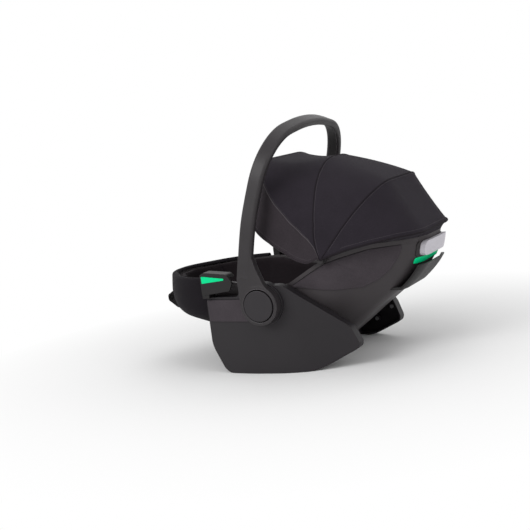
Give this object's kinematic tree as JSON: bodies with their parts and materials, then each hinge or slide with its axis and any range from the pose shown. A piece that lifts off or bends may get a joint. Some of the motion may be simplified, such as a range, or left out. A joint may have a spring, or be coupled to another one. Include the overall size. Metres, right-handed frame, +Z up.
{
  "type": "infant car seat",
  "caption": "Infant car seat carrier: bucket shell on side wings, swinging carry handle with hub buttons, folding fan canopy, padded seat with harness, belt guides and a rear release lever.",
  "frame": {"origin": "middle of the overall box at floor level", "axes": "+X to the head end under the canopy, +Y to the seated child's right, +Z up"},
  "size_m": [0.682, 0.44, 0.5391],
  "materials": {
    "shell_plastic": "moulded grey shell, fine grain",
    "wing_plastic": "moulded charcoal, fine grain",
    "handle_plastic": "satin dark grey, fine grain",
    "trim_plastic": "satin near-black",
    "gear_plastic": "plain black nylon",
    "steel": "zinc-plated",
    "canopy_fabric": "tight woven, warm charcoal",
    "visor_fabric": "tight woven, slightly lighter",
    "cover_fabric": "knitted cover with seams",
    "pad_fabric": "quilted soft cover",
    "webbing": "flat woven webbing",
    "guide_green": "bright green marking",
    "lever_grey": "light grey, smooth",
    "button_red": "red press face"
  },
  "bodies": {
    "frame": {"buckle": "trim_plastic", "buckle_tongues": "steel", "canopy_pins": "gear_plastic", "canopy_rear_panel": "canopy_fabric", "crotch_strap": "webbing", "foot_cover": "cover_fabric", "front_cross_beam": "shell_plastic", "harness_adjuster": "trim_plastic", "left_base_wing": "wing_plastic", "left_belt_guide": "wing_plastic", "left_guide_insert": "guide_green", "left_hub_axle": "steel", "left_shoulder_pad": "pad_fabric", "left_shoulder_strap": "webbing", "left_side_panel": "cover_fabric", "left_skirt": "cover_fabric", "lever_bezel": "wing_plastic", "pull_strap": "webbing", "rear_belt_guide": "shell_plastic", "rear_bow": "gear_plastic", "rear_cross_beam": "shell_plastic", "rear_guide_insert": "guide_green", "right_base_wing": "wing_plastic", "right_belt_guide": "wing_plastic", "right_guide_insert": "guide_green", "right_hub_axle": "steel", "right_shoulder_pad": "pad_fabric", "right_shoulder_strap": "webbing", "right_side_panel": "cover_fabric", "right_skirt": "cover_fabric", "seat_pad": "pad_fabric", "seat_tub": "shell_plastic", "wing_screws": "steel"},
    "handle": {"carry_handle": "handle_plastic", "handle_trim": "trim_plastic"},
    "left_button": {"left_handle_button": "trim_plastic"},
    "right_button": {"right_handle_button": "trim_plastic"},
    "left_gear": {"left_lock_gear": "gear_plastic"},
    "right_gear": {"right_lock_gear": "gear_plastic"},
    "middle_bow": {"middle_bow": "gear_plastic", "canopy_middle_panel": "canopy_fabric"},
    "front_bow": {"front_bow": "gear_plastic", "canopy_front_panel": "canopy_fabric"},
    "visor": {"visor_bow": "gear_plastic", "canopy_visor": "visor_fabric"},
    "buckle_press": {"buckle_button": "button_red"},
    "adjuster_press": {"adjuster_button": "button_red"},
    "lever": {"release_lever": "lever_grey"},
    "head": {"head_support": "pad_fabric"}
  },
  "joints": [
    {"name": "handle_swing", "type": "hinge", "parent": "frame", "child": "handle", "pos_m": [0, 0, 0.155], "axis": [0, 1, 0], "range_deg": [-110, 0]},
    {"name": "left_button_press", "type": "slide", "parent": "handle", "child": "left_button", "axis": [0, 1, 0], "range_m": [0, 0.0052], "stiffness_N_per_m": 1200, "springref_m": -0.002},
    {"name": "right_button_press", "type": "slide", "parent": "handle", "child": "right_button", "axis": [0, -1, 0], "range_m": [0, 0.0052], "stiffness_N_per_m": 1200, "springref_m": -0.002},
    {"name": "left_gear_slide", "type": "slide", "parent": "frame", "child": "left_gear", "axis": [0, 1, 0], "range_m": [0, 0.0052]},
    {"name": "right_gear_slide", "type": "slide", "parent": "frame", "child": "right_gear", "axis": [0, -1, 0], "range_m": [0, 0.0052]},
    {"name": "canopy_fold", "type": "hinge", "parent": "frame", "child": "middle_bow", "pos_m": [0.137, 0, 0.238], "axis": [0, 1, 0], "range_deg": [0, 38], "deforming": ["canopy_middle_panel"]},
    {"name": "canopy_front_fold", "type": "hinge", "parent": "middle_bow", "child": "front_bow", "pos_m": [0.137, 0, 0.238], "axis": [0, 1, 0], "range_deg": [0, 25], "deforming": ["canopy_front_panel"]},
    {"name": "visor_fold", "type": "hinge", "parent": "front_bow", "child": "visor", "pos_m": [0.137, 0, 0.238], "axis": [0, 1, 0], "range_deg": [0, 20], "deforming": ["canopy_visor"]},
    {"name": "buckle_press", "type": "slide", "parent": "frame", "child": "buckle_press", "axis": [0, 0, -1], "range_m": [0, 0.004], "stiffness_N_per_m": 900, "springref_m": -0.002},
    {"name": "adjuster_press", "type": "slide", "parent": "frame", "child": "adjuster_press", "axis": [-0.5, 0, -0.866], "range_m": [0, 0.003], "stiffness_N_per_m": 900, "springref_m": -0.002},
    {"name": "lever_lift", "type": "slide", "parent": "frame", "child": "lever", "axis": [0.3162, 0, 0.9487], "range_m": [0, 0.006], "stiffness_N_per_m": 900, "springref_m": -0.002},
    {"name": "head_support_slide", "type": "slide", "parent": "frame", "child": "head", "axis": [-0.7912, 0, -0.6115], "range_m": [0, 0.04]}
  ],
  "couplings": [
    {"joint": "left_gear_slide", "follows": "left_button_press", "ratio": 1},
    {"joint": "right_gear_slide", "follows": "right_button_press", "ratio": 1},
    {"joint": "canopy_front_fold", "follows": "canopy_fold", "ratio": 0.6579}
  ]
}
